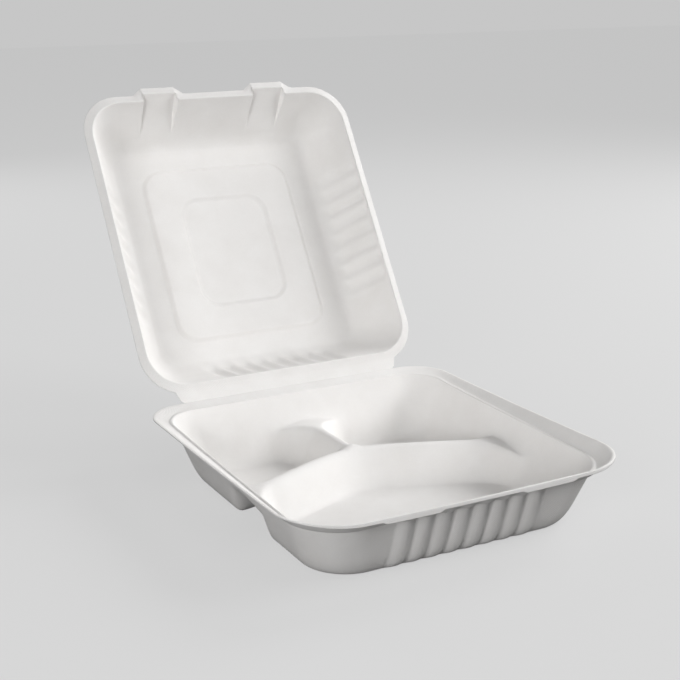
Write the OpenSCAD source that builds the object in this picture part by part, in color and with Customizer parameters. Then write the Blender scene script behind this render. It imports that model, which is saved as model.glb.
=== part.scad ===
// Clamshell food container of moulded sugar-cane pulp. One thin sheet forms a tray with
// three compartments and a domed lid, and bends at a crease along the back of the tray.
// X runs along the crease, the free edge is at -Y and the crease at +Y, Z points up.
// The origin is the middle of the underside, on the surface that the tray stands on.

/* [Sheet] */
// Thickness of the moulded pulp
sheet_t = 0.8; // [0.6:0.1:1.2]

/* [Rim of the tray] */
// Width of the tray's rim, along the crease
rim_w = 227; // [214:1:245]
// Depth of the tray's rim, from the free edge to the crease
rim_d = 239; // [224:1:252]
// Radius of the rim's corners at the free edge
front_r = 38; // [34:1:42]
// Radius of the rim's corners at the crease
back_r = 26; // [22:1:32]
// Share of each inward step that a corner radius of the tray loses
tray_taper = 0.4; // [0.3:0.05:0.5]
// How far the middle of the free edge bows outwards
rim_bow = 0.5; // [0:0.1:2]
// How far the middle of a free side of the tray sinks below its corners
rim_curl = 1.2; // [0:0.1:2.5]
// Width of the flange, from its edge to the bead along its inner side
flange_w = 9; // [8:0.5:11]
// Depth to which the flange slopes down, halfway along the tray
flange_drop = 5.2; // [3:0.1:6]
// How much deeper the flange lies at the free edge, and less deep at the crease
flange_tilt = 3; // [0:0.1:3]
// How much less deep the flange lies along the middle of the free edge
flange_rise = 5.5; // [0:0.1:6]
// Height of the bead along the inner side of the flange
bead_h = 0.9; // [0.5:0.1:1.5]

/* [Lip] */
// Height of the lip turned over along the middle of the free edge
lip_h = 2; // [1.2:0.1:3]
// How much further the lip reaches down in the two catches
catch_h = 1.4; // [0.5:0.1:2]
// Distance of a catch's middle from the middle of the free edge
catch_x = 46; // [40:1:50]
// Length of a catch
catch_w = 35; // [24:1:40]

/* [Tray] */
// Height of the tray
tray_h = 44.5; // [38:0.5:52]
// Slope of the tray's outer walls from the vertical
tray_draft = 20; // [14:1:26]
// Height over which the tray's walls round into its floor
tray_round = 14; // [8:1:16]

/* [Dividers] */
// Depth of the dividers' crest below the rim
divider_drop = 20; // [16:1:26]
// Radius of the dividers' crest
divider_r = 4; // [3:0.5:6]
// Slope of the dividers' sides from the vertical
divider_draft = 18; // [12:1:24]
// Half width of a divider at its foot
divider_foot = 16; // [13:0.5:20]
// Distance of the dividers' junction behind the tray's middle
junction_y = 32; // [15:1:40]
// Angle by which the side dividers run forwards from the junction
divider_angle = 23.5; // [10:0.5:32]
// Bend of the side dividers at the junction, as the length it is spread over
divider_bend = 20; // [8:1:30]
// Height over which a divider rounds into what it meets
divider_flare = 9; // [4:1:12]
// How far a divider's crest widens to each side where it runs into a wall
divider_spread = 24; // [8:1:28]
// Length over which the crest widens
spread_run = 26; // [16:1:34]
// Share of that widening on the back of the side dividers
divider_back = 0.35; // [0:0.05:1]

/* [Flutes] */
// Distance from flute to flute
flute_pitch = 12.6; // [10:0.1:16]
// Depth of a flute
flute_depth = 2.4; // [0.8:0.1:3]

/* [Lid] */
// Width of the lid, along the crease
lid_w = 212.6; // [204:0.2:214]
// Depth of the lid's bowl, across the crease
lid_d = 225.4; // [214:0.2:228]
// Radius of the lid's corners
lid_r = 29; // [24:1:34]
// Share of each inward step that a corner radius of the lid loses
lid_taper = 0.6; // [0.4:0.05:0.7]
// Height of the lid
lid_h = 38.8; // [30:0.2:44]
// Width of the sloping band along the lid's edge
band_w = 5; // [4:0.5:8]
// How far the band rises from the edge to its crest
band_h = 1.7; // [0.8:0.1:3]
// Slope of the lid's walls from the vertical
lid_draft = 26; // [20:1:32]
// Height over which the lid's walls round into its panel
lid_round = 13; // [5:1:15]
// Width of the plateau in the lid's panel
plateau_w = 118; // [100:1:124]
// Depth of the plateau, across the crease
plateau_d = 135; // [100:1:140]
// How far the plateau stands into the lid
plateau_rise = 2.2; // [1:0.1:3]
// Width of the pocket in the plateau
pocket_w = 70; // [50:1:80]
// Depth of the pocket, across the crease
pocket_d = 86; // [60:1:90]
// How far the pocket is sunk back from the plateau
pocket_drop = 2.2; // [1:0.1:3]
// Corner radius of the pocket and the plateau
panel_r = 15; // [10:1:20]

/* [Closing tabs] */
// Distance of a tab's middle from the middle of the free edge
tab_x = 44.2; // [38:0.2:48]
// Width of a tab at its end
tab_w = 25.4; // [16:0.2:28]
// Length over which a tab widens at its root
tab_ramp = 7; // [4:0.5:8]
// How far a tab stands out from the rim
tab_out = 5.6; // [3:0.1:7]
// How far the tab's channel runs down the lid's wall
tab_run = 28; // [15:1:30]

/* [Crease] */
// Length of the crease
crease_w = 170; // [150:1:172]
// Width of the flat strip between the crease and the lid's bowl
web_d = 7; // [5:0.2:10]
// Opening angle of the lid, where 0 is closed and 180 lies flat
lid_angle = 122; // [30:1:180]
// Gap between the halves at the crease, and between the closed rims
crease_gap = 0.3; // [0.2:0.1:0.5]

/* [Hidden] */
pulp_white = [0.93, 0.92, 0.9];

// Places round a sheet: four sides and the corners that follow them, anticlockwise
FRONT = 0;
RIGHT = 1;
BACK = 2;
LEFT = 3;
FRONT_RIGHT = 4;
BACK_RIGHT = 5;
BACK_LEFT = 6;
FRONT_LEFT = 7;

half_w = rim_w / 2;
half_d = rim_d / 2;
tray_floor = sheet_t - tray_h;
lid_floor = sheet_t - lid_h;
tray_inset = flange_w + 2.9 * sheet_t;
lid_inset = band_w + sheet_t;
tray_edge = -0.4 * sheet_t;
lid_edge = band_h - 0.6 * sheet_t;
tray_steps = [0, 0.12, 0.45, 0.72, 1.05, 1.42];
tray_fade = [0, 0.8, 1, 1, 0.6, 0];
lid_steps = [0, 0.12, 0.45, 0.8, 1.02, 1.24];
lid_fade = [0, 0.9, 1, 1, 0.7, 0];
tray_run = (-tray_floor - flange_drop) * tan(tray_draft);
lid_run = (lid_edge - lid_floor) * tan(lid_draft);
tray_foot = tray_inset + tray_steps[5] * tray_run;
lid_foot = lid_inset + lid_steps[5] * lid_run;
corner_steps = 4;
lid_y = half_d + crease_gap / 2 - web_d - lid_d / 2;

// Shape of a half: half width, half depth, front radius, back radius and taper
tray_shape = [half_w, half_d, front_r, back_r, tray_taper];
lid_shape = [lid_w / 2, lid_d / 2, lid_r, lid_r, lid_taper];

// End of the straight part of a side, as a half length, where the outline is moved in by d
function radius(h, back, d) = (back ? h[3] : h[2]) - h[4] * d;
function limit(side, last, h, d) =
    let(back = side == BACK || side == (last ? RIGHT : LEFT))
    (side % 2 == 0 ? h[0] : h[1]) - d - radius(h, back, d);
flute_room = min(limit(FRONT, true, lid_shape, lid_foot), limit(LEFT, true, lid_shape, lid_foot),
                 limit(FRONT, true, tray_shape, tray_foot));
flute_count = floor(2 * flute_room / flute_pitch);
flute_half = flute_count * flute_pitch / 2;

// Greater of two heights, rounded where they meet over the height k
function smooth_max(a, b, k) = max(a, b) + pow(max(k - abs(a - b), 0), 2) / (4 * k);
function clamp(v) = min(max(v, 0), 1);
function ease(v) = let(c = clamp(v)) c * c * (3 - 2 * c);
function mix(a, b, f) = a + (b - a) * f;
function unit(v) = v / norm(v);
function between(a, b, n) = [for (i = [1:n]) mix(a, b, i / (n + 1))];
// 0 outside a span, 1 inside it, with a slope of the given length outside each end
function span(x, middle, width, ramp) = clamp(1 + (width / 2 - abs(x - middle)) / ramp);

// A spoke crosses the sheet from its edge inwards and is [side, place], with a place in
// millimetres on a side and in degrees on a corner. All run anticlockwise, seen from above.
function is_corner(s) = s[0] >= FRONT_RIGHT;
function spoke_angle(s) = is_corner(s) ? 90 * (s[0] - BACK_RIGHT) + s[1] : 90 * (s[0] - RIGHT);
function slide(s, h, d) =
    let(last = s[1] > 0, u = abs(s[1]),
        k = (limit(s[0], last, h, d) - flute_half) / (limit(s[0], last, h, 0) - flute_half))
    sign(s[1]) * (u <= flute_half ? u : flute_half + (u - flute_half) * k);
function outline(s, h, d) =
    let(a = spoke_angle(s), dir = [cos(a), sin(a)], across = [-dir[1], dir[0]],
        back = s[0] == BACK_RIGHT || s[0] == BACK_LEFT, r = radius(h, back, d),
        cx = (s[0] < BACK_LEFT ? 1 : -1) * (h[0] - d - r),
        cy = (back ? 1 : -1) * (h[1] - d - r))
    is_corner(s) ? [cx, cy] + r * dir
                 : (s[0] % 2 == 0 ? h[1] - d : h[0] - d) * dir + slide(s, h, d) * across;

// The tray's free edge bows outwards and its free sides curl down between the corners
function bowed(p) =
    let(u = p[0] / half_w, v = p[1] / half_d)
    [p[0], p[1] * (1 + (v < 0 ? rim_bow / half_d * (1 - u * u) : 0))];
function curl(p) =
    let(u = p[0] / half_w, v = p[1] / half_d)
    rim_curl * (u * u * (1 - v * v) + (v < 0 ? v * v * (1 - u * u) : 0));
// Depth of the flange along a spoke
function drop(s) =
    let(p = outline(s, tray_shape, 0), fade = 0.3 * half_w)
    flange_drop - flange_tilt * p[1] / half_d
        - (s[0] == FRONT ? flange_rise * (1 - ease((abs(p[0]) - half_w + front_r + fade / 1.5) / fade)) : 0);

// Section of the tray's rim, as [inset, height, share of the flange's drop] a ring
function lip(s) =
    s[0] == FRONT ? lip_h + catch_h * span(abs(s[1]), catch_x, catch_w, 2 * sheet_t)
    : s[0] == FRONT_RIGHT ? mix(lip_h, sheet_t / 2, ease(s[1] / 75))
    : s[0] == FRONT_LEFT ? mix(sheet_t / 2, lip_h, ease((s[1] - 15) / 75))
    : s[0] == RIGHT || s[0] == LEFT ? sheet_t / 2
    : s[0] == BACK ? 0 : sheet_t / 2 * (s[0] == BACK_RIGHT ? 1 - ease(s[1] / 90) : ease(s[1] / 90));
function rim_section(s) =
    [[0, -lip(s), 0], [0.4 * sheet_t, -lip(s) / 3, 0], [1.8 * sheet_t, 0, 0],
     [flange_w, 0, 1], [flange_w + 1.6 * sheet_t, bead_h, 1]];
tray_rim = 5;

// Flutes bulge outwards and meet in sharp valleys
function flute(s) = abs(s[1]) > flute_half ? 0
    : flute_depth * abs(sin(180 * (s[1] + flute_half) / flute_pitch));
flute_places = [for (i = [0:3 * flute_count]) -flute_half + i * flute_pitch / 3];
function corner_spokes(c) = [for (i = [0:corner_steps]) [c, 90 * i / corner_steps]];

// Dividers: two side ones on one bent line through the junction, one to the back
junction = [0, junction_y];
wall_x = half_w - tray_inset - (divider_drop - flange_drop) * tan(tray_draft);
wall_y = half_d - tray_inset - (divider_drop - flange_drop + flange_tilt) * tan(tray_draft);
function spread(to_wall) = divider_spread * pow(clamp(1 - to_wall / spread_run), 2);
function side_line(x) =
    junction_y - tan(divider_angle) * (sqrt(x * x + divider_bend * divider_bend) - divider_bend);
function side_slope(x) =
    tan(divider_angle) * x / sqrt(x * x + divider_bend * divider_bend);
function crest(l, widening) =
    let(m = 1 / tan(divider_draft), q = m * divider_r, e = max(abs(l) - widening, abs(l) / 4))
    -divider_drop - m * (sqrt(e * e + q * q) - q);
function divider_height(p) =
    let(g = side_slope(p[0]), across = (p[1] - side_line(p[0])) / sqrt(1 + g * g),
        back = p - junction - [0, divider_r])
    smooth_max(crest(across, spread(wall_x - abs(p[0])) * (across > 0 ? divider_back : 1)),
               crest(back[1] > 0 ? p[0] : norm(back), spread(wall_y - p[1])), divider_flare);

// Spokes of the tray also name the compartment that they end in and, close to a divider,
// their distance from its line as a share of its foot
divider_shares = [0, 0.22, 0.45, 0.7, 1];
divider_y = side_line(half_w - tray_foot);
divider_reach = divider_foot / cos(divider_angle);
end_reach = divider_foot + divider_spread / 2;
side_room = limit(RIGHT, false, tray_shape, tray_foot);
back_room = limit(RIGHT, true, tray_shape, tray_foot);
crease_room = limit(BACK, true, tray_shape, tray_foot);
function fan(side, places, room) = [for (u = places) [side, u, room, 1]];
function divider_spokes(side, middle, first, last) =
    concat([for (i = [4:-1:1]) [side, middle - end_reach * divider_shares[i], first, divider_shares[i]]],
           [for (i = [0:4]) [side, middle + end_reach * divider_shares[i], last, divider_shares[i]]]);
function room_corner(c, room) = [for (s = corner_spokes(c)) [s[0], s[1], room, 1]];
catch_ends = [catch_x + catch_w / 2, catch_x + catch_w / 2 + 2 * sheet_t];
tray_spokes = concat(
    fan(FRONT, concat([-catch_ends[1], -catch_ends[0]], flute_places, catch_ends), 0),
    room_corner(FRONT_RIGHT, 0),
    fan(RIGHT, between(-side_room, divider_y - end_reach, 2), 0),
    divider_spokes(RIGHT, divider_y, 0, 1),
    fan(RIGHT, between(divider_y + end_reach, back_room, 2), 1),
    room_corner(BACK_RIGHT, 1),
    fan(BACK, between(-crease_room, -end_reach, 3), 1),
    divider_spokes(BACK, 0, 1, 2),
    fan(BACK, between(end_reach, crease_room, 3), 2),
    room_corner(BACK_LEFT, 2),
    fan(LEFT, between(-back_room, -divider_y - end_reach, 2), 2),
    divider_spokes(LEFT, -divider_y, 2, 0),
    fan(LEFT, between(-divider_y + end_reach, side_room, 2), 0),
    room_corner(FRONT_LEFT, 0));

// Inner corner of each compartment, where the feet of its two dividers meet
back_reach = divider_foot / sin(45 + divider_angle / 2);
back_side = [cos(45 - divider_angle / 2), sin(45 - divider_angle / 2)];
room_corners = [junction - [0, divider_reach],
                junction + back_reach * back_side,
                junction + back_reach * [-back_side[0], back_side[1]]];
// Inner rings as [from foot to inner corner, from inner corner to junction]
inner_rings = [[0.12, 0], [0.32, 0], [0.6, 0], [0.8, 0], [0.84, 0.35], [0.88, 0.7]];
tray_walls = tray_rim + len(tray_steps);
tray_rings = tray_walls + len(inner_rings);

function tray_place(s, k) =
    k < tray_walls
        ? let(w = k - tray_rim, bulge = s[0] == FRONT ? flute(s) * tray_fade[w] : 0)
          outline(s, tray_shape, tray_inset + tray_run * tray_steps[w]) + bulge * [0, -1]
        : let(r = inner_rings[k - tray_walls], knee = mix(junction, room_corners[s[2]], s[3]))
          mix(mix(outline(s, tray_shape, tray_foot), knee, r[0]), junction, r[1]);
function tray_height(s, k, p) =
    let(d = k < tray_walls ? tray_run * tray_steps[k - tray_rim] : half_w,
        wall = tray_edge - drop(s) - d / tan(tray_draft))
    smooth_max(smooth_max(wall, tray_floor, tray_round), divider_height(p), divider_flare);
function tray_point(s, k) =
    let(rim = rim_section(s),
        p = k < tray_rim ? outline(s, tray_shape, rim[k][0]) : tray_place(s, k),
        z = k < tray_rim ? rim[k][1] - rim[k][2] * drop(s) : tray_height(s, k, p),
        b = bowed(p))
    [b[0], b[1], z - curl(p) * clamp(1 - z / tray_floor)];

// Spokes of the lid: tabs at the front, flutes on the three other sides and the strip
// that leads to the crease at the back
tab_places = [tab_x - tab_w / 2 - tab_ramp, tab_x - tab_w / 2 - tab_ramp / 4,
              tab_x - tab_w / 2, tab_x, tab_x + tab_w / 2,
              tab_x + tab_w / 2 + tab_ramp / 4, tab_x + tab_w / 2 + tab_ramp];
lid_spokes = concat(
    [for (i = [6:-1:0]) [FRONT, -tab_places[i]]], [[FRONT, 0]], [for (u = tab_places) [FRONT, u]],
    corner_spokes(FRONT_RIGHT), [for (u = flute_places) [RIGHT, u]],
    corner_spokes(BACK_RIGHT), [for (u = flute_places) [BACK, u]],
    corner_spokes(BACK_LEFT), [for (u = flute_places) [LEFT, u]],
    corner_spokes(FRONT_LEFT));
lid_section = [[0, 0], [0.25 * band_w, 0.25 * band_h], [band_w - sheet_t, band_h - 0.2 * sheet_t],
               [band_w, band_h]];
lid_rim = len(lid_section);
lid_rings = lid_rim + len(lid_steps);
// The strip's edge: the crease itself, and short slopes from its ends to the bowl's outline
function web_share(p) = span(p[0], 0, crease_w, (lid_w - crease_w) / 16);
function lid_point(s, k) =
    let(w = k - lid_rim,
        d = k < lid_rim ? lid_section[k][0] : lid_inset + lid_run * lid_steps[w],
        wall = lid_edge - (d - lid_inset) / tan(lid_draft),
        z = k < lid_rim ? lid_section[k][1] : smooth_max(wall, lid_floor, lid_round),
        front = s[0] == FRONT,
        ramp = k < 2 ? tab_ramp : tab_ramp / 4,
        tab = front ? tab_out * span(abs(s[1]), tab_x, tab_w, ramp) * clamp(1 + min(z, 0) / tab_run) : 0,
        bulge = k < lid_rim || front || is_corner(s) ? 0 : flute(s) * lid_fade[w],
        a = spoke_angle(s),
        p = outline(s, lid_shape, d) + (tab + bulge) * [cos(a), sin(a)],
        edge = k == 0 && p[1] > 0 ? (lid_d / 2 + web_d - p[1]) * web_share(p) : 0)
    [p[0], p[1] + lid_y + edge, z];

// Rings of the lid's panel, with far fewer points, as [width, depth, radius, height]
plateau_z = lid_floor + plateau_rise;
panel_rings = [
    [plateau_w, plateau_d, panel_r, lid_floor],
    [plateau_w - 2 * plateau_rise, plateau_d - 2 * plateau_rise, panel_r - plateau_rise, plateau_z],
    [pocket_w, pocket_d, panel_r, plateau_z],
    [pocket_w - 2 * pocket_drop, pocket_d - 2 * pocket_drop, panel_r - pocket_drop,
     plateau_z - pocket_drop],
    [pocket_w / 2, pocket_d / 2, panel_r / 2, plateau_z - pocket_drop]];
function panel_ring(r) =
    let(a = r[0] / 2 - r[2], b = r[1] / 2 - r[2], ends = [[-a, -b], [a, -b], [a, b], [-a, b]])
    [for (c = [0:3], i = [1:7])
        let(t = 90 * (c - 1) + 30 * max(i - 4, 0),
            p = mix(ends[c], ends[(c + 1) % 4], min(i / 4, 1)) + r[2] * [cos(t), sin(t)])
        [p[0], p[1] + lid_y, r[3]]];
// Point of a panel ring that a spoke of the lid leads to
function panel_index(s) =
    let(flat = (s[0] % 2 == 0 ? plateau_w : plateau_d) / 2 - panel_r,
        i = is_corner(s) ? 7 * (s[0] - 4) + 3 + round(s[1] / 30)
                         : 7 * s[0] - 1 + round(4 * clamp((s[1] / flat + 1) / 2)))
    (i + 28) % 28;

// Upward normal at place j of ring k in a list of rings
function ring_normal(rings, j, k) =
    let(n = len(rings[k]), a = rings[k][(j + 1) % n] - rings[k][(j + n - 1) % n],
        inner = rings[min(k + 1, len(rings) - 1)], outer = rings[max(k - 1, 0)])
    unit(cross(a, inner[j] - outer[j]));
function below(rings) = [for (k = [0:len(rings) - 1])
    [for (j = [0:len(rings[k]) - 1]) rings[k][j] - sheet_t * ring_normal(rings, j, k)]];

// Faces between rings of n points that start at place "from", seen from above
function band(n, from, count) = [for (k = [0:count - 2], j = [0:n - 1])
    let(a = from + k * n + j, b = from + k * n + (j + 1) % n) each [[a, a + n, b + n], [a, b + n, b]]];
// Faces between an outer ring and an inner one of fewer points, which "leads" names
function narrowing(outer, inner, leads) = [for (j = [0:len(leads) - 1])
    let(k = (j + 1) % len(leads), a = outer + j, b = outer + k,
        c = inner + leads[j], e = inner + leads[k])
    each c == e ? [[a, c, b]] : [[a, c, e], [a, e, b]]];
// Faces from a ring of n points to one point inside it
function hub_fan(n, from, hub) = [for (j = [0:n - 1]) [from + j, hub, from + (j + 1) % n]];
function flipped(faces) = [for (f = faces) [for (i = [len(f) - 1:-1:0]) f[i]]];
function shifted(faces, by) = [for (f = faces) [for (i = f) i + by]];
function edge_band(n, by) = [for (j = [0:n - 1])
    let(k = (j + 1) % n) each [[j, k, k + by], [j, k + by, j + by]]];
// Closed sheet from its upper points, the points below them and the upper faces
module sheet(upper, lower, faces, edge_points) {
    polyhedron(concat(upper, lower),
               concat(faces, shifted(flipped(faces), len(upper)),
                      edge_band(edge_points, len(upper))));
}
function joined(rings) = [for (r = rings) each r];

// Tray with its top at height 0
module tray_sheet() {
    n = len(tray_spokes);
    rings = [for (k = [0:tray_rings - 1]) [for (s = tray_spokes) tray_point(s, k)]];
    pole = concat(junction, [divider_height(junction)]);
    faces = concat(band(n, 0, tray_rings), hub_fan(n, (tray_rings - 1) * n, tray_rings * n));
    sheet(concat(joined(rings), [pole]), concat(joined(below(rings)), [pole - [0, 0, sheet_t]]),
          faces, n);
}

// Lid with its rim at height 0, hollow side up and the crease at +Y
module lid_sheet() {
    n = len(lid_spokes);
    walls = [for (k = [0:lid_rings - 1]) [for (s = lid_spokes) lid_point(s, k)]];
    panel = [for (r = panel_rings) panel_ring(r)];
    m = len(panel[0]);
    start = lid_rings * n;
    hub = start + len(panel) * m;
    middle = [0, lid_y, plateau_z - pocket_drop];
    faces = concat(band(n, 0, lid_rings),
                   narrowing(start - n, start, [for (s = lid_spokes) panel_index(s)]),
                   band(m, start, len(panel)), hub_fan(m, hub - m, hub));
    sheet(concat(joined(walls), joined(panel), [middle]),
          concat(joined(below(walls)), joined(below(panel)), [middle - [0, 0, sheet_t]]),
          faces, n);
}

module base_tray() {
    color(pulp_white) translate([0, 0, tray_h]) tray_sheet();
}

module lid() {
    crease_y = half_d + crease_gap / 2;
    color(pulp_white)
        translate([0, crease_y, tray_h + crease_gap / 2])
            rotate([180 - lid_angle, 0, 0])
                rotate([0, 0, 180])
                    translate([0, -crease_y, -crease_gap / 2])
                        lid_sheet();
}

base_tray();
lid();
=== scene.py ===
import bpy
import numpy as np
from mathutils import Euler, Matrix


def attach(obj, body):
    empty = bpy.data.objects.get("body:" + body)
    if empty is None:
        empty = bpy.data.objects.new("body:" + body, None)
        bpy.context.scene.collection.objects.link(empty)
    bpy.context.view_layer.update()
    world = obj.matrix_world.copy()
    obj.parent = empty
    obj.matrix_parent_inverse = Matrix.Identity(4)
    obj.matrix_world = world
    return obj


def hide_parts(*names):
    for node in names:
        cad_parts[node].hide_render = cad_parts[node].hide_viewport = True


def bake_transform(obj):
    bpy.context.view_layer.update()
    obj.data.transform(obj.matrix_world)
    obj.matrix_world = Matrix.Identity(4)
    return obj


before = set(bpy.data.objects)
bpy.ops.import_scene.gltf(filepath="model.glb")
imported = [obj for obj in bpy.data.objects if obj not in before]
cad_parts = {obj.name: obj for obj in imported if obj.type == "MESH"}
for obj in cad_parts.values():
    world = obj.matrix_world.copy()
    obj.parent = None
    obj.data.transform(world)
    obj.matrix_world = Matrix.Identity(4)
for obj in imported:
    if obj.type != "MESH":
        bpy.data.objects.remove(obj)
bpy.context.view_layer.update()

# Sizes in millimetres, the same as the solids'. Both halves are laid out like the tray:
# the crease at +Y, the free edge at -Y, the rim's edge at height 0 and the hollow side up.
SHEET = 0.8
RIM_W, RIM_D, FRONT_R, BACK_R, TRAY_TAPER = 227.0, 239.0, 38.0, 26.0, 0.4
BOW, CURL = 0.5, 1.2
FLANGE, FLANGE_DROP, FLANGE_TILT, FLANGE_RISE = 9.0, 5.2, 3.0, 1.0
LIP, CATCH, CATCH_X, CATCH_W = 2.0, 1.4, 46.0, 35.0
TRAY_H, TRAY_DRAFT, TRAY_ROUND = 44.5, 20.0, 14.0
DROP, CREST_R, DIV_DRAFT, FLARE = 20.0, 4.0, 18.0, 9.0
JUNCTION_Y, DIV_ANGLE, DIV_BEND = 32.0, 23.5, 20.0
SPREAD, SPREAD_RUN, SPREAD_BACK = 24.0, 26.0, 0.35
PITCH, FLUTES, FLUTE_DEPTH = 12.6, 8, 2.4
LID_W, LID_D, LID_R, LID_TAPER = 212.6, 225.4, 29.0, 0.6
LID_H, BAND, BAND_H, LID_DRAFT, LID_ROUND = 38.8, 5.0, 1.7, 26.0, 13.0
PLATEAU, PLATEAU_RISE = (118.0, 135.0), 2.2
POCKET, POCKET_DROP, PANEL_R = (70.0, 86.0), 2.2, 15.0
TAB_X, TAB_W, TAB_RAMP, TAB_OUT, TAB_RUN = 44.2, 25.4, 7.0, 5.6, 28.0
CREASE_W, WEB, OPEN, GAP = 170.0, 7.0, 122.0, 0.3

TRAY = (RIM_W / 2, RIM_D / 2, FRONT_R, BACK_R, TRAY_TAPER)
LID = (LID_W / 2, LID_D / 2, LID_R, LID_R, LID_TAPER)
HALF_W, HALF_D = TRAY[:2]
TRAY_INSET, LID_INSET = FLANGE + 2.9 * SHEET, BAND + SHEET
TRAY_EDGE, LID_EDGE = -0.4 * SHEET, BAND_H - 0.6 * SHEET
LID_Y = HALF_D + GAP / 2 - WEB - LID_D / 2
FLUTE_HALF = FLUTES * PITCH / 2

# Spokes on each side and round each corner, and rings down each wall
PER_SIDE, PER_CORNER = (112, 80, 80, 80), 18
TRAY_WALL_RINGS, LID_WALL_RINGS, FLOOR_RINGS = 26, 27, 38


def tan(degrees):
    return np.tan(np.radians(degrees))


def smooth_max(a, b, k):
    return np.maximum(a, b) + np.maximum(k - np.abs(a - b), 0) ** 2 / (4 * k)


def ease(v):
    c = np.clip(v, 0, 1)
    return c * c * (3 - 2 * c)


def span(x, middle, width, ramp):
    return np.clip(1 + (width / 2 - np.abs(x - middle)) / ramp, 0, 1)


def cut_corners(points, times):
    """Rounds a line of control points by cutting its corners."""
    p = np.array(points, float)
    for _ in range(times):
        a, b = p[:-1] * 0.75 + p[1:] * 0.25, p[:-1] * 0.25 + p[1:] * 0.75
        p = np.vstack([p[:1], np.stack([a, b], 1).reshape(-1, p.shape[1]), p[-1:]])
    return p


def shares(count, dense):
    """Shares along a side, closer together near the given ones."""
    s = np.linspace(-1, 1, 2001)
    weight = 1 + sum(6 * np.exp(-((np.abs(s) - d) / 0.02) ** 2) for d in dense) + 0 * s
    run = np.concatenate([[0], np.cumsum((weight[1:] + weight[:-1]) / 2)])
    return np.interp(np.linspace(0, run[-1], count), run, s)


# Spokes: quarter of the outline (front, right, back, left), share along its side and
# angle round the corner that follows it
tab_ends = [(TAB_X + side * TAB_W / 2) / (LID_W / 2 - LID_R) for side in (-1, 1)]
quarter = np.concatenate([np.full(n + PER_CORNER, i) for i, n in enumerate(PER_SIDE)])
share = np.concatenate([np.append(shares(n, () if i else tab_ends), np.ones(PER_CORNER))
                        for i, n in enumerate(PER_SIDE)])
turn = np.concatenate([np.append(np.zeros(n), np.linspace(0, 90, PER_CORNER + 2)[1:-1])
                       for n in PER_SIDE])
on_side = turn == 0
N = len(quarter)
start = np.radians(90 * (quarter - 1))
out_dir = np.stack([np.cos(start), np.sin(start)], 1)
along_dir = np.stack([-out_dir[:, 1], out_dir[:, 0]], 1)
ray = start + np.radians(turn)
ray_dir = np.stack([np.cos(ray), np.sin(ray)], 1)
front = (quarter == 0) & on_side
back_end = (quarter == 2) | (quarter == np.where(share > 0, 1, 3))
back_end[~on_side] = (quarter[~on_side] == 1) | (quarter[~on_side] == 2)


def limit(shape, d):
    """Half length of the straight part of each spoke's side, on the spoke's own half of it."""
    r = np.where(back_end, shape[3], shape[2]) - shape[4] * d
    return np.where(quarter % 2 == 0, shape[0], shape[1]) - d - r, r


def places(shape):
    return share * limit(shape, 0)[0]


def rounded(length, out, r, along):
    centre = out_dir * (out - r)[:, None] + along_dir * along[:, None]
    return centre + np.array(r).reshape(-1, 1) * ray_dir


def outline(shape, d):
    """The edge's outline moved in by d, with the flutes' places kept."""
    room, r = limit(shape, d)
    full = limit(shape, 0)[0]
    place = places(shape)
    squeeze = (room - FLUTE_HALF) / (full - FLUTE_HALF)
    u = np.abs(place)
    along = np.sign(place) * np.where(u <= FLUTE_HALF, u, FLUTE_HALF + (u - FLUTE_HALF) * squeeze)
    along = np.where(on_side, along, room)
    out = np.where(quarter % 2 == 0, shape[1], shape[0]) - d
    return rounded(room, out, r, along)


def panel(size, r, grow=0.0):
    """A rounded rectangle of the lid's panel, with one point a spoke."""
    w, h = size[0] / 2 + grow, size[1] / 2 + grow
    r = max(r + grow, 1.0)
    length = np.where(quarter % 2 == 0, w, h)
    out = np.where(quarter % 2 == 0, h, w)
    return rounded(length, out, np.full(N, r), share * (length - r))


def bowed(p):
    u, v = p[:, 0] / HALF_W, p[:, 1] / HALF_D
    return np.stack([p[:, 0], p[:, 1] * (1 + np.where(v < 0, BOW / HALF_D * (1 - u * u), 0))], 1)


def curl(p):
    u, v = p[:, 0] / HALF_W, p[:, 1] / HALF_D
    return CURL * (u * u * (1 - v * v) + np.where(v < 0, v * v * (1 - u * u), 0))


def drop():
    """Depth of the flange along each spoke: deep round the front corners, little between them."""
    p = outline(TRAY, 0)
    middle = np.where(p[:, 1] < -HALF_D / 2, 1 - ease((np.abs(p[:, 0]) - 60) / 38), 0)
    return FLANGE_DROP - FLANGE_TILT * p[:, 1] / HALF_D - FLANGE_RISE * middle


def lip_height():
    """How far the turned-over lip reaches down: in front, with its two catches."""
    s = np.abs(places(TRAY))
    low = np.where(front, LIP + CATCH * span(s, CATCH_X, CATCH_W, 1.2), SHEET / 2)
    low = np.where((quarter == 0) & ~on_side, LIP + (SHEET / 2 - LIP) * ease(turn / 70), low)
    low = np.where((quarter == 3) & ~on_side, LIP + (SHEET / 2 - LIP) * ease((90 - turn) / 70), low)
    low = np.where((quarter == 2) & on_side, 0, low)
    low = np.where((quarter == 1) & ~on_side, SHEET / 2 * (1 - turn / 90), low)
    return np.where((quarter == 2) & ~on_side, SHEET / 2 * turn / 90, low)


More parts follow.
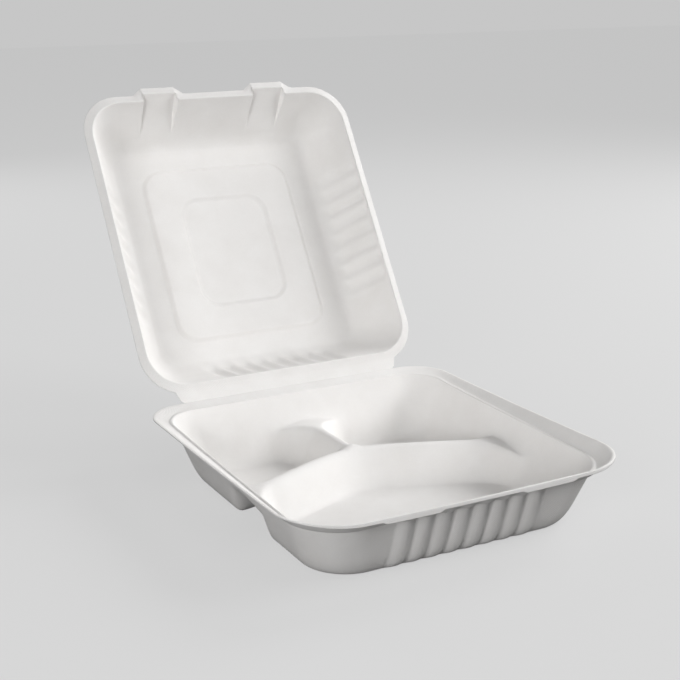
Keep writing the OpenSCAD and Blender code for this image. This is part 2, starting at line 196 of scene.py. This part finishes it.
# Sections of the rims. Tray: inset, height, share of the lip, share of the flange's drop.
# Lid: inset, height, share of the strip to the crease.
TRAY_RIM = cut_corners([
    (0.0, 0.0, -1.0, 0.0), (0.05, 0.0, -0.7, 0.0), (0.1, 0.0, -0.3, 0.0), (0.3, 0.03, 0.0, 0.0),
    (1.4, 0.0, 0.0, 0.0), (2.3, 0.0, 0.0, 0.1), (8.6, -0.1, 0.0, 1.0), (9.6, 0.5, 0.0, 1.0),
    (10.4, 0.65, 0.0, 1.0), (11.0, 0.35, 0.0, 1.0), (TRAY_INSET, TRAY_EDGE, 0.0, 1.0),
    (TRAY_INSET + 0.3, TRAY_EDGE - 0.3 / tan(TRAY_DRAFT), 0.0, 1.0)], 2)
LID_RIM = cut_corners([
    (0.0, 0.0, 1.0), (0.12, 0.03, 0.75), (0.24, 0.07, 0.45), (0.4, 0.12, 0.15), (0.8, 0.26, 0.0),
    (4.2, 1.45, 0.0), (4.9, 1.8, 0.0), (5.4, 1.65, 0.0), (LID_INSET, LID_EDGE, 0.0),
    (LID_INSET + 0.3, LID_EDGE - 0.3 / tan(LID_DRAFT), 0.0)], 2)


def flute(place):
    """Broad bulges outwards that meet in narrow valleys."""
    wave = np.sin(np.pi * (place + FLUTE_HALF) / PITCH)
    e = 0.1
    return np.where(on_side & (np.abs(place) <= FLUTE_HALF),
                    FLUTE_DEPTH * (np.sqrt(wave ** 2 + e * e) - e) / (np.sqrt(1 + e * e) - e), 0)


def wall_insets(inset, edge, draft, floor, k, last, count):
    """Insets that are evenly spaced along the wall's rounded section."""
    d = np.linspace(inset + 0.3, last, 400)
    z = smooth_max(edge - (d - inset) / tan(draft), floor, k)
    run = np.concatenate([[0], np.cumsum(np.hypot(np.diff(d), np.diff(z)))])
    return np.interp(np.linspace(0, run[-1], count + 1)[1:], run, d)


WALL_X = HALF_W - TRAY_INSET - (DROP - FLANGE_DROP) * tan(TRAY_DRAFT)
WALL_Y = HALF_D - TRAY_INSET - (DROP - FLANGE_DROP + FLANGE_TILT) * tan(TRAY_DRAFT)


def side_line(x):
    return JUNCTION_Y - tan(DIV_ANGLE) * (np.sqrt(x * x + DIV_BEND ** 2) - DIV_BEND)


def spread(to_wall):
    return SPREAD * np.clip(1 - to_wall / SPREAD_RUN, 0, 1) ** 2


def crest(distance, widening):
    m = 1 / tan(DIV_DRAFT)
    q = m * CREST_R
    e = np.maximum(np.abs(distance) - widening, np.abs(distance) / 4)
    return -DROP - m * (np.sqrt(e * e + q * q) - q)


def divider_height(p):
    x, y = p[:, 0], p[:, 1]
    slope = tan(DIV_ANGLE) * x / np.sqrt(x * x + DIV_BEND ** 2)
    across = (y - side_line(x)) / np.sqrt(1 + slope ** 2)
    by = y - JUNCTION_Y - CREST_R
    back = np.where(by > 0, np.abs(x), np.hypot(x, by))
    side = spread(WALL_X - np.abs(x)) * (1 - (1 - SPREAD_BACK) * ease(across / 4 + 0.5))
    return smooth_max(crest(across, side), crest(back, spread(WALL_Y - y)), FLARE)


def tray_rings():
    floor = SHEET - TRAY_H
    run = (-floor - FLANGE_DROP) * tan(TRAY_DRAFT)
    foot = TRAY_INSET + 1.42 * run
    lip, deep = lip_height(), drop()
    rings = []

    def add(p, z):
        b = bowed(p)
        z = z - curl(p) * np.clip(1 - z / floor, 0, 1)
        rings.append(np.column_stack([b, z]))

    bulge = np.where(front, flute(places(TRAY)), 0)
    for d, z, down, low in TRAY_RIM:
        p = outline(TRAY, d) + (bulge * ease((d - 3) / 7))[:, None] * ray_dir
        add(p, z + down * lip - low * deep)
    for d in wall_insets(TRAY_INSET, TRAY_EDGE - FLANGE_DROP, TRAY_DRAFT, floor, TRAY_ROUND,
                         foot, TRAY_WALL_RINGS):
        w = (d - TRAY_INSET) / run
        p = outline(TRAY, d) + (bulge * (1 - ease((w - 0.85) / 0.5)))[:, None] * ray_dir
        wall = TRAY_EDGE - deep - (d - TRAY_INSET) / tan(TRAY_DRAFT)
        add(p, smooth_max(smooth_max(wall, floor, TRAY_ROUND), divider_height(p), FLARE))
    f = outline(TRAY, foot)
    for t in np.linspace(0, 1, FLOOR_RINGS)[1:-1]:
        p = f * (1 - t) + np.array([0, JUNCTION_Y]) * t
        wall = TRAY_EDGE - deep - (foot - TRAY_INSET) / tan(TRAY_DRAFT) - 300 * t
        add(p, smooth_max(smooth_max(wall, floor, TRAY_ROUND), divider_height(p), FLARE))
    middle = np.array([[0, JUNCTION_Y]])
    add(middle, divider_height(middle))
    return rings, len(TRAY_RIM) + TRAY_WALL_RINGS


def lid_rings():
    floor = SHEET - LID_H
    run = (LID_EDGE - floor) * tan(LID_DRAFT)
    foot = LID_INSET + 1.24 * run
    place = places(LID)
    tab = np.where(front, span(np.abs(place), TAB_X, TAB_W, TAB_RAMP), 0) * TAB_OUT
    channel = np.where(front, ease(span(np.abs(place), TAB_X, TAB_W, 1.2)), 0) * TAB_OUT
    bulge = np.where(front, 0, flute(place))
    rings = []

    def add(p, z):
        rings.append(np.column_stack([p + [0, LID_Y], z + np.zeros(N)]))

    for d, z, web in LID_RIM:
        blend = ease((d - 2.0) / 2.5)
        p = outline(LID, d) + (tab * (1 - blend) + channel * blend)[:, None] * ray_dir
        strip_share = 1 - ease((np.abs(p[:, 0]) - CREASE_W / 2 + 1.5) / 2.8)
        to_crease = (LID_D / 2 + WEB - p[:, 1]) * strip_share
        p[:, 1] += np.where(p[:, 1] > 0, web * to_crease, 0)
        add(p, z)
    for d in wall_insets(LID_INSET, LID_EDGE, LID_DRAFT, floor, LID_ROUND, foot, LID_WALL_RINGS):
        w = (d - LID_INSET) / run
        z = smooth_max(LID_EDGE - (d - LID_INSET) / tan(LID_DRAFT), floor, LID_ROUND)
        shift = (bulge * ease(w / 0.1) * (1 - ease((w - 0.85) / 0.3))
                 + channel * max(1 + min(z, 0) / TAB_RUN, 0))
        add(outline(LID, d) + shift[:, None] * ray_dir, z)
    walls = len(rings)
    ramp = cut_corners([(2.2, 0.0), (0.6, 0.0), (-PLATEAU_RISE + 0.4, 1.0),
                        (-PLATEAU_RISE - 1.6, 1.0)], 2)
    last = outline(LID, foot)
    first = panel(PLATEAU, PANEL_R, 2.2)
    for t in (0.25, 0.5, 0.75):
        add(last * (1 - t) + first * t, floor)
    for grow, rise in ramp:
        add(panel(PLATEAU, PANEL_R, grow), floor + PLATEAU_RISE * rise)
    last, first = panel(PLATEAU, PANEL_R, ramp[-1][0]), panel(POCKET, PANEL_R, 2.0)
    top = floor + PLATEAU_RISE
    for t in (0.25, 0.5, 0.75):
        add(last * (1 - t) + first * t, top)
    for grow, rise in ramp:
        add(panel(POCKET, PANEL_R, grow - 0.2), top - POCKET_DROP * rise)
    last = panel(POCKET, PANEL_R, ramp[-1][0] - 0.2)
    low = top - POCKET_DROP
    for t in np.linspace(0, 1, 9)[1:-1]:
        add(last * (1 - t), low)
    rings.append(np.array([[0, LID_Y, low]]))
    return rings, walls


def skin_mesh(name, rings, walls, rim, inside, outside):
    """A closed sheet: its inner side, its outer side one thickness away and a rounded edge.

    The mould's mesh marks the outer side and the inner side's first rings, which form the rim.
    """
    grid = np.array(rings[:-1])
    pole = rings[-1][0]
    count = len(grid)
    around = np.roll(grid, -1, 1) - np.roll(grid, 1, 1)
    inner, outer = np.roll(grid, -1, 0), np.roll(grid, 1, 0)
    inner[-1], outer[0] = grid[-1], grid[0]
    inwards = inner - outer
    normal = np.cross(around, inwards)
    normal /= np.linalg.norm(normal, axis=2)[:, :, None]
    lower = grid - SHEET * normal
    middle = (grid[0] + lower[0]) / 2
    away = -inwards[0] / np.linalg.norm(inwards[0], axis=1)[:, None]
    edge = [middle + SHEET / 2 * (np.cos(a) * normal[0] + np.sin(a) * away)
            for a in np.radians((45, 90, 135))]
    points = np.concatenate([grid.reshape(-1, 3), [pole],
                             lower.reshape(-1, 3), [pole - [0, 0, SHEET]]] + edge)

    lengths = np.linalg.norm(np.diff(grid, axis=0), axis=2)
    profile = np.concatenate([[np.zeros(N)], np.cumsum(lengths, 0)])
    girth = grid[min(walls, count - 1) - 12]
    steps = np.linalg.norm(np.roll(girth, -1, 0) - girth, axis=1)
    arc = np.concatenate([[0], np.cumsum(steps)])

    faces, slots, uvs = [], [], []
    base = count * N + 1
    j = np.arange(N)
    k2 = (j + 1) % N
    for k in range(count - 1):
        a, b, c, e = k * N + j, k * N + k2, (k + 1) * N + k2, (k + 1) * N + j
        flat = k >= walls
        if flat:
            uv = [grid[k][j][:, :2], grid[k][k2][:, :2],
                  grid[k + 1][k2][:, :2], grid[k + 1][j][:, :2]]
        else:
            uv = [np.stack([arc[j], profile[k][j]], 1), np.stack([arc[j + 1], profile[k][k2]], 1),
                  np.stack([arc[j + 1], profile[k + 1][k2]], 1),
                  np.stack([arc[j], profile[k + 1][j]], 1)]
        faces.append(np.stack([a, b, c, e], 1))
        uvs.append(np.stack(uv, 1))
        slots.append(np.full(N, int(k < rim)))
        faces.append(np.stack([e, c, b, a], 1) + base)
        uvs.append(np.stack(uv[::-1], 1))
        slots.append(np.ones(N, int))
    first = 2 * base
    chain = [0, first, first + N, first + 2 * N, base]
    for a, b in zip(chain[:-1], chain[1:]):
        faces.append(np.stack([a + k2, a + j, b + j, b + k2], 1))
        ends = [np.stack([arc[j + 1], 0 * arc[j]], 1), np.stack([arc[j], 0 * arc[j]], 1)]
        uvs.append(np.stack(ends * 2, 1))
        slots.append(np.ones(N, int))
    quads = np.concatenate(faces)
    quad_uv = np.concatenate(uvs)
    tips = []
    for by, flip in ((0, False), (base, True)):
        hub, at = by + count * N, by + (count - 1) * N
        t = np.stack([at + j, at + k2, np.full(N, hub)], 1)
        tips.append(t[:, ::-1] if flip else t)
    tips = np.concatenate(tips)
    tip_uv = points[tips][:, :, :2]
    mesh = bpy.data.meshes.new(name)
    loops = np.concatenate([quads.ravel(), tips.ravel()])
    mesh.vertices.add(len(points))
    mesh.loops.add(len(loops))
    mesh.polygons.add(len(quads) + len(tips))
    mesh.loops.foreach_set("vertex_index", loops.astype(np.int32))
    starts = np.concatenate([np.arange(len(quads)) * 4, len(quads) * 4 + np.arange(len(tips)) * 3])
    mesh.polygons.foreach_set("loop_start", starts.astype(np.int32))
    slot = np.concatenate([np.concatenate(slots), np.repeat([0, 1], N)])
    mesh.polygons.foreach_set("material_index", slot.astype(np.int32))
    uv_layer = mesh.uv_layers.new(name="sheet")
    all_uv = np.concatenate([quad_uv.reshape(-1, 2), tip_uv.reshape(-1, 2)])
    uv_layer.data.foreach_set("uv", all_uv.ravel() * 0.001)
    mesh.materials.append(inside)
    mesh.materials.append(outside)
    return mesh, points


def place_mesh(mesh, points):
    mesh.vertices.foreach_set("co", (points * 0.001).astype(np.float32).ravel())
    mesh.update(calc_edges=True)
    mesh.validate()
    mesh.shade_smooth()
    thing = bpy.data.objects.new(mesh.name, mesh)
    bpy.context.scene.collection.objects.link(thing)
    return thing


def to_lid(points):
    """Tray-like coordinates of the lid to the row frame, at its resting angle."""
    q = points - [0, HALF_D + GAP / 2, GAP / 2]
    q = q * [-1, -1, 1]
    a = np.radians(180 - OPEN)
    y, z = q[:, 1] * np.cos(a) - q[:, 2] * np.sin(a), q[:, 1] * np.sin(a) + q[:, 2] * np.cos(a)
    return np.column_stack([q[:, 0], y + HALF_D + GAP / 2, z + TRAY_H + GAP / 2])


def pulp(name, woven):
    """Matt moulded pulp: faint mottling and fibres, and the mould's mesh on the outer side."""
    m = bpy.data.materials.new(name)
    m.use_nodes = True
    nodes, links = m.node_tree.nodes, m.node_tree.links
    nodes.clear()
    out = nodes.new("ShaderNodeOutputMaterial")
    shader = nodes.new("ShaderNodeBsdfPrincipled")
    links.new(shader.outputs["BSDF"], out.inputs["Surface"])
    shader.inputs["Roughness"].default_value = 0.82 if woven else 0.7
    shader.inputs["Specular IOR Level"].default_value = 0.25
    where = nodes.new("ShaderNodeTexCoord")

    def noise(scale, detail, rough=0.55):
        n = nodes.new("ShaderNodeTexNoise")
        n.inputs["Scale"].default_value = scale
        n.inputs["Detail"].default_value = detail
        n.inputs["Roughness"].default_value = rough
        links.new(where.outputs["Object"], n.inputs["Vector"])
        return n.outputs["Fac"]

    def maths(kind, a, b=None):
        n = nodes.new("ShaderNodeMath")
        n.operation = kind
        for i, v in enumerate((a, b)):
            if v is None:
                continue
            if isinstance(v, (int, float)):
                n.inputs[i].default_value = v
            else:
                links.new(v, n.inputs[i])
        return n.outputs[0]

    cloud = noise(45, 3)
    speck = noise(900, 4, 0.7)
    tone = maths("ADD", maths("MULTIPLY", cloud, 0.6), maths("MULTIPLY", speck, 0.4))
    ramp = nodes.new("ShaderNodeValToRGB")
    ramp.color_ramp.elements[0].position = 0.3
    ramp.color_ramp.elements[1].position = 0.7
    ramp.color_ramp.elements[0].color = (0.855, 0.838, 0.82, 1)
    ramp.color_ramp.elements[1].color = (0.91, 0.898, 0.885, 1)
    links.new(tone, ramp.inputs["Fac"])
    links.new(ramp.outputs["Color"], shader.inputs["Base Color"])
    fibre = noise(1400, 5, 0.65)
    lump = noise(160, 2)
    height = maths("ADD", maths("MULTIPLY", fibre, 0.5), maths("MULTIPLY", lump, 0.8))
    if woven:
        uv = nodes.new("ShaderNodeSeparateXYZ")
        links.new(where.outputs["UV"], uv.inputs["Vector"])
        waves = [maths("SINE", maths("MULTIPLY", uv.outputs[axis], 2 * np.pi / 0.0012))
                 for axis in ("X", "Y")]
        height = maths("ADD", height, maths("MULTIPLY", maths("MULTIPLY", waves[0], waves[1]), 0.6))
    bump = nodes.new("ShaderNodeBump")
    bump.inputs["Strength"].default_value = 0.5
    bump.inputs["Distance"].default_value = 0.0002 if woven else 0.0001
    links.new(height, bump.inputs["Height"])
    links.new(bump.outputs["Normal"], shader.inputs["Normal"])
    return m


smooth_pulp = pulp("smooth pulp", False)
meshed_pulp = pulp("meshed pulp", True)

mesh, points = skin_mesh("tray_sheet", *tray_rings(), len(TRAY_RIM) - 8, smooth_pulp, meshed_pulp)
tray = place_mesh(mesh, points + [0, 0, TRAY_H])
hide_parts("base_tray")
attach(tray, "tray_body")

mesh, points = skin_mesh("lid_sheet", *lid_rings(), len(LID_RIM) - 4, smooth_pulp, meshed_pulp)
lid = place_mesh(mesh, to_lid(points))
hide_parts("lid")
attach(lid, "lid_body")


def crease():
    """The strip of sheet that bends between the halves."""
    x = np.linspace(-CREASE_W / 2 + 2.5, CREASE_W / 2 - 2.5, 121)
    bite = 0.5
    upper, lower = [], []
    for t in np.linspace(0, 1, 9):
        y = HALF_D + GAP / 2 + (-bite - GAP / 2) * abs(1 - 2 * t)
        for store, down in ((upper, 0.02), (lower, SHEET - 0.02)):
            p = np.column_stack([x, np.full(len(x), y), np.full(len(x), -down)])
            store.append(p + [0, 0, TRAY_H] if t < 0.5 else to_lid(p * [-1, 1, 1]))
    a, b = np.array(upper), np.array(lower)
    rows_n, cols = a.shape[:2]
    verts = np.concatenate([a.reshape(-1, 3), b.reshape(-1, 3)])
    half = rows_n * cols
    faces = []
    for i in range(rows_n - 1):
        for k in range(cols - 1):
            p, q = i * cols + k, i * cols + k + 1
            r, s = p + cols, q + cols
            faces += [(p, q, s, r), (p + half, r + half, s + half, q + half)]
        for k in (0, cols - 1):
            p, r = i * cols + k, (i + 1) * cols + k
            f = (p, r, r + half, p + half)
            faces.append(f if k == 0 else f[::-1])
    for k in range(cols - 1):
        for i in (0, rows_n - 1):
            p, q = i * cols + k, i * cols + k + 1
            f = (p, p + half, q + half, q)
            faces.append(f if i == 0 else f[::-1])
    m = bpy.data.meshes.new("crease_strip")
    m.from_pydata([tuple(v * 0.001) for v in verts], [], faces)
    m.validate()
    m.materials.append(smooth_pulp)
    m.shade_smooth()
    thing = bpy.data.objects.new("crease_strip", m)
    bpy.context.scene.collection.objects.link(thing)
    return thing


strip = crease()
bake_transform(strip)


def lamp(name, place, aim, size, power):
    light = bpy.data.lights.new(name, "AREA")
    light.shape = "DISK"
    light.size = size
    light.energy = power
    thing = bpy.data.objects.new(name, light)
    bpy.context.scene.collection.objects.link(thing)
    way = np.array(aim, float) - np.array(place, float)
    thing.location = place
    tilt, turned = np.arccos(-way[2] / np.linalg.norm(way)), np.arctan2(-way[0], way[1])
    thing.rotation_euler = (tilt, 0, turned)


lamp("top", (0.1, -0.6, 1.4), (0, 0.05, 0.08), 1.1, 3.5)
lamp("right front", (1.3, -0.7, 0.9), (0, 0.05, 0.08), 0.9, 15)
lamp("right back", (1.5, 0.35, 0.9), (0, 0.05, 0.08), 0.9, 17)
lamp("left front", (-1.2, -0.9, 0.45), (0, 0.05, 0.08), 0.8, 12.5)
lamp("back", (-0.2, 1.5, 0.7), (0, 0.1, 0.1), 0.9, 5)


def by_camera_ray(tree, plain, seen):
    """One shader for what the camera sees directly and another for all other light."""
    path, mix = tree.nodes.new("ShaderNodeLightPath"), tree.nodes.new("ShaderNodeMixShader")
    tree.links.new(path.outputs["Is Camera Ray"], mix.inputs[0])
    tree.links.new(plain, mix.inputs[1])
    tree.links.new(seen, mix.inputs[2])
    return mix.outputs[0]


def background(tree, colour, strength):
    node = tree.nodes.new("ShaderNodeBackground")
    node.inputs["Color"].default_value = colour
    node.inputs["Strength"].default_value = strength
    return node.outputs[0]


world = bpy.data.worlds.new("studio")
world.use_nodes = True
tree = world.node_tree
tree.nodes.clear()
sky = by_camera_ray(tree, background(tree, (0.95, 0.97, 1.0, 1), 0.03),
                    background(tree, (0.57, 0.57, 0.57, 1), 1.0))
tree.links.new(sky, tree.nodes.new("ShaderNodeOutputWorld").inputs["Surface"])
bpy.context.scene.world = world

ground = bpy.data.meshes.new("floor")
ground.from_pydata([(-6, -6, 0), (6, -6, 0), (6, 6, 0), (-6, 6, 0)], [], [(0, 1, 2, 3)])
floor_mat = bpy.data.materials.new("floor")
floor_mat.use_nodes = True
tree = floor_mat.node_tree
tree.nodes.clear()
lit, bounce = tree.nodes.new("ShaderNodeBsdfDiffuse"), tree.nodes.new("ShaderNodeBsdfDiffuse")
lit.inputs["Color"].default_value = (0.16, 0.16, 0.16, 1)
bounce.inputs["Color"].default_value = (0.16, 0.16, 0.16, 1)
glow, both = tree.nodes.new("ShaderNodeEmission"), tree.nodes.new("ShaderNodeAddShader")
glow.inputs["Color"].default_value = (0.55, 0.55, 0.55, 1)
tree.links.new(lit.outputs[0], both.inputs[0])
tree.links.new(glow.outputs[0], both.inputs[1])
surface = by_camera_ray(tree, bounce.outputs[0], both.outputs[0])
tree.links.new(surface, tree.nodes.new("ShaderNodeOutputMaterial").inputs["Surface"])
ground.materials.append(floor_mat)
floor = bpy.data.objects.new("floor", ground)
bpy.context.scene.collection.objects.link(floor)

camera = bpy.data.cameras.new("camera")
camera.lens, camera.sensor_width = 70.27, 36
camera.clip_end = 20
eye = bpy.data.objects.new("camera", camera)
bpy.context.scene.collection.objects.link(eye)
eye.location = (-0.3993, -0.6895, 0.3239)
way = Euler((np.radians(90 - 15.298), 0, np.radians(-28.427))).to_matrix()
eye.rotation_euler = (way @ Matrix.Rotation(np.radians(-0.629), 3, "Z")).to_euler()
bpy.context.scene.camera = eye
bpy.context.scene.view_settings.view_transform = "Standard"
